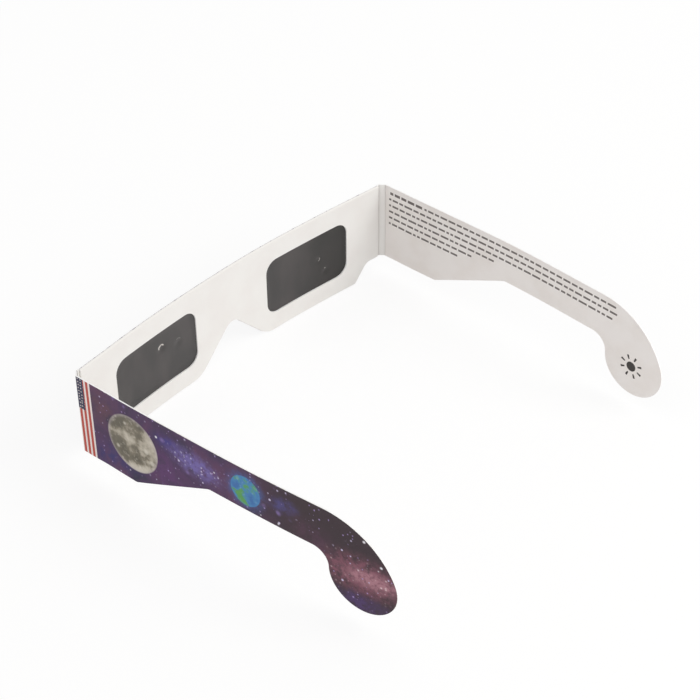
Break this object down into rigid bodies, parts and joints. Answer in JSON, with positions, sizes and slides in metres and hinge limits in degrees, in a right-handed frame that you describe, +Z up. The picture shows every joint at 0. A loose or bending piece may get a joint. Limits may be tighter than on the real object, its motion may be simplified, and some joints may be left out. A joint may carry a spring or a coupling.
{
  "type": "eclipse glasses",
  "caption": "Folding paperboard eclipse glasses with dark solar film windows, a bowed laminated front and hooked temples on double creases.",
  "frame": {"origin": "on the ground under the middle of the whole footprint, with the glasses standing on the lower edge of the front and the temples open as in use", "axes": "+X to the wearer's left, +Y from the front towards the ears, +Z up, with all four creases along Z"},
  "size_m": [0.1492, 0.1324, 0.038],
  "materials": {
    "printed_board": "satin",
    "white_board": "matte",
    "solar_film": "satin",
    "glue": "matte"
  },
  "bodies": {
    "front": {"front_outer_panel": "printed_board", "front_inner_panel": "white_board", "top_fold": "white_board", "left_film": "solar_film", "right_film": "solar_film", "glue_layer": "glue"},
    "left_gusset": {"left_gusset": "printed_board"},
    "left_temple": {"left_temple": "printed_board"},
    "right_gusset": {"right_gusset": "printed_board"},
    "right_temple": {"right_temple": "printed_board"}
  },
  "joints": [
    {"name": "left_front_crease", "type": "hinge", "parent": "front", "child": "left_gusset", "pos_m": [0.07282, -0.061, 0.0225], "axis": [0, 0, 1], "range_deg": [-41.35, 43]},
    {"name": "left_temple_crease", "type": "hinge", "parent": "left_gusset", "child": "left_temple", "pos_m": [0.07439, -0.05918, 0.0225], "axis": [0, 0, 1], "range_deg": [-41.35, 43]},
    {"name": "right_front_crease", "type": "hinge", "parent": "front", "child": "right_gusset", "pos_m": [-0.07218, -0.061, 0.0225], "axis": [0, 0, -1], "range_deg": [-40, 43.35]},
    {"name": "right_temple_crease", "type": "hinge", "parent": "right_gusset", "child": "right_temple", "pos_m": [-0.07379, -0.05922, 0.0225], "axis": [0, 0, -1], "range_deg": [-40, 43.35]}
  ],
  "couplings": [
    {"joint": "left_temple_crease", "follows": "left_front_crease", "ratio": 1},
    {"joint": "right_temple_crease", "follows": "right_front_crease", "ratio": 1}
  ]
}
